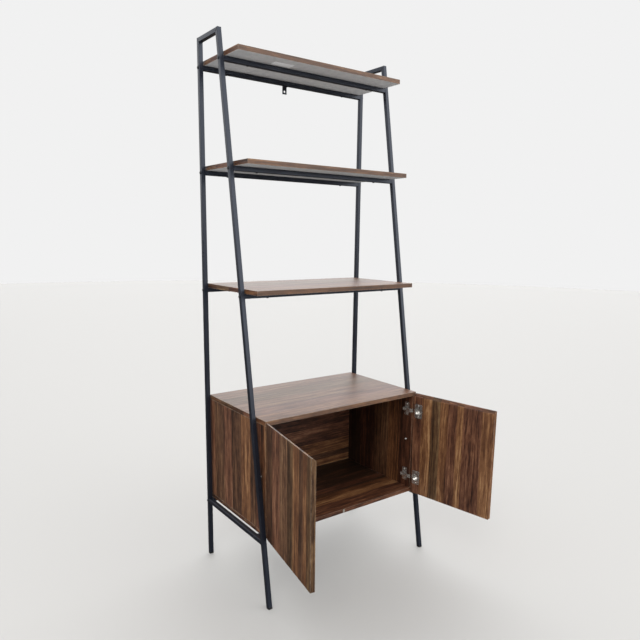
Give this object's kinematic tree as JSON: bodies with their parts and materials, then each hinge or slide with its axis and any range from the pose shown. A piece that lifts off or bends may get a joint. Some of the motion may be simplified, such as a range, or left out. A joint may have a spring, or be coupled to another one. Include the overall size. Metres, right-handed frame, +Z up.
{
  "type": "ladder shelf",
  "caption": "Leaning ladder shelf: steel side frames with open wooden shelves that deepen downwards over a closed cabinet with hinged doors.",
  "frame": {"origin": "on the floor, at the centre of the footprint with both doors open as stored", "axes": "+Z up, +Y towards the wall side (the upright back posts), +X to the viewer's right seen from the front"},
  "size_m": [0.7784, 0.7234, 1.829],
  "materials": {
    "frame_steel": "satin powder coat, dark blue-grey",
    "bolt_steel": "black-zinc button-head bolts",
    "walnut_laminate": "rustic walnut laminate on particle board, satin",
    "hinge_nickel": "bright nickel plate",
    "foot_plastic": "moulded black plastic"
  },
  "bodies": {
    "frame": {"base_back_rail": "frame_steel", "base_front_rail": "frame_steel", "cabinet_back": "walnut_laminate", "cabinet_bottom": "walnut_laminate", "cabinet_top": "walnut_laminate", "left_back_glide": "foot_plastic", "left_back_post": "frame_steel", "left_base_back_bolt": "bolt_steel", "left_base_front_bolt": "bolt_steel", "left_cabinet_bolt": "bolt_steel", "left_cabinet_side": "walnut_laminate", "left_front_glide": "foot_plastic", "left_front_post": "frame_steel", "left_lower_back_bolt": "bolt_steel", "left_lower_front_bolt": "bolt_steel", "left_lower_hinge_arm": "hinge_nickel", "left_side_rail": "frame_steel", "left_top_back_bolt": "bolt_steel", "left_top_bar": "frame_steel", "left_top_front_bolt": "bolt_steel", "left_upper_back_bolt": "bolt_steel", "left_upper_front_bolt": "bolt_steel", "left_upper_hinge_arm": "hinge_nickel", "lower_back_rail": "frame_steel", "lower_front_rail": "frame_steel", "lower_shelf": "walnut_laminate", "right_back_glide": "foot_plastic", "right_back_post": "frame_steel", "right_base_back_bolt": "bolt_steel", "right_base_front_bolt": "bolt_steel", "right_cabinet_bolt": "bolt_steel", "right_cabinet_side": "walnut_laminate", "right_front_glide": "foot_plastic", "right_front_post": "frame_steel", "right_lower_back_bolt": "bolt_steel", "right_lower_front_bolt": "bolt_steel", "right_lower_hinge_arm": "hinge_nickel", "right_side_rail": "frame_steel", "right_top_back_bolt": "bolt_steel", "right_top_bar": "frame_steel", "right_top_front_bolt": "bolt_steel", "right_upper_back_bolt": "bolt_steel", "right_upper_front_bolt": "bolt_steel", "right_upper_hinge_arm": "hinge_nickel", "top_back_rail": "frame_steel", "top_front_rail": "frame_steel", "top_shelf": "walnut_laminate", "upper_back_rail": "frame_steel", "upper_front_rail": "frame_steel", "upper_shelf": "walnut_laminate", "wall_bracket": "frame_steel"},
    "left_door_leaf": {"left_door": "walnut_laminate", "left_lower_hinge_cup": "hinge_nickel", "left_upper_hinge_cup": "hinge_nickel"},
    "right_door_leaf": {"right_door": "walnut_laminate", "right_lower_hinge_cup": "hinge_nickel", "right_upper_hinge_cup": "hinge_nickel"}
  },
  "joints": [
    {"name": "left_door_hinge", "type": "hinge", "parent": "frame", "child": "left_door_leaf", "pos_m": [-0.326, -0.04077, 0.42], "axis": [0, 0, -1], "range_deg": [-100, 10]},
    {"name": "right_door_hinge", "type": "hinge", "parent": "frame", "child": "right_door_leaf", "pos_m": [0.326, -0.04077, 0.42], "axis": [0, 0, 1], "range_deg": [-100, 10]}
  ]
}
